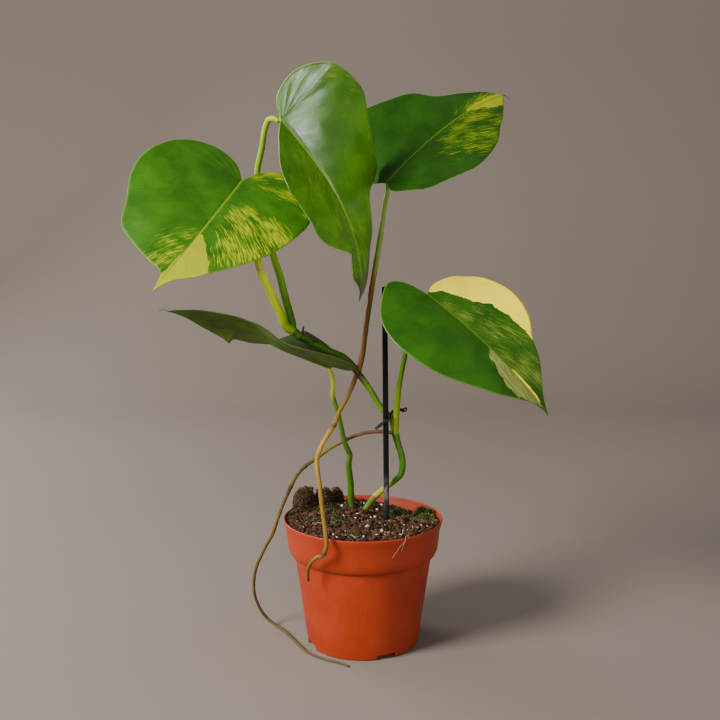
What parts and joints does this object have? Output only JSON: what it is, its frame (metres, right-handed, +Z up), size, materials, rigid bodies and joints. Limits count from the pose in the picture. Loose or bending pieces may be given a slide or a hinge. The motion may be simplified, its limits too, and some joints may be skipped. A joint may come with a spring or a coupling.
{
  "type": "potted monstera",
  "caption": "Young variegated climbing houseplant in a round nursery pot: heart-shaped leaves on stalks, a climbing stem, aerial roots, potting soil and a support stake.",
  "frame": {"origin": "on the pot's axis, in the plane of the flat underside that the pot stands on", "axes": "+Z up along the pot's axis, -Y towards the viewer of the picture, +X to that viewer's right"},
  "size_m": [0.2913, 0.2079, 0.4309],
  "materials": {
    "pot": "matte terracotta plastic",
    "potting_soil": "crumbly potting mix",
    "main_stem": "green stem with brown rings",
    "stalk_green": "smooth green",
    "stalk_brown": "dry brown sheath over green",
    "aerial_root": "tan root bark",
    "leaf": "glossy green, variegated yellow",
    "leaf_variegated": "glossy green streaked with yellow",
    "support_stake": "dark, weathered near the soil",
    "twist_tie": "dark grey coated wire"
  },
  "bodies": {
    "root": {"pot": "pot", "potting_soil": "potting_soil", "main_stem": "main_stem", "stalk_left": "stalk_green", "stalk_top": "stalk_green", "stalk_right_high": "stalk_brown", "stalk_right_low": "stalk_green", "stalk_low": "stalk_green", "aerial_root_front": "aerial_root", "aerial_root_long": "aerial_root", "leaf_left": "leaf_variegated", "leaf_top": "leaf", "leaf_right_high": "leaf_variegated", "leaf_right_low": "leaf_variegated", "leaf_low": "leaf", "support_stake": "support_stake", "twist_tie": "twist_tie"}
  },
  "joints": []
}
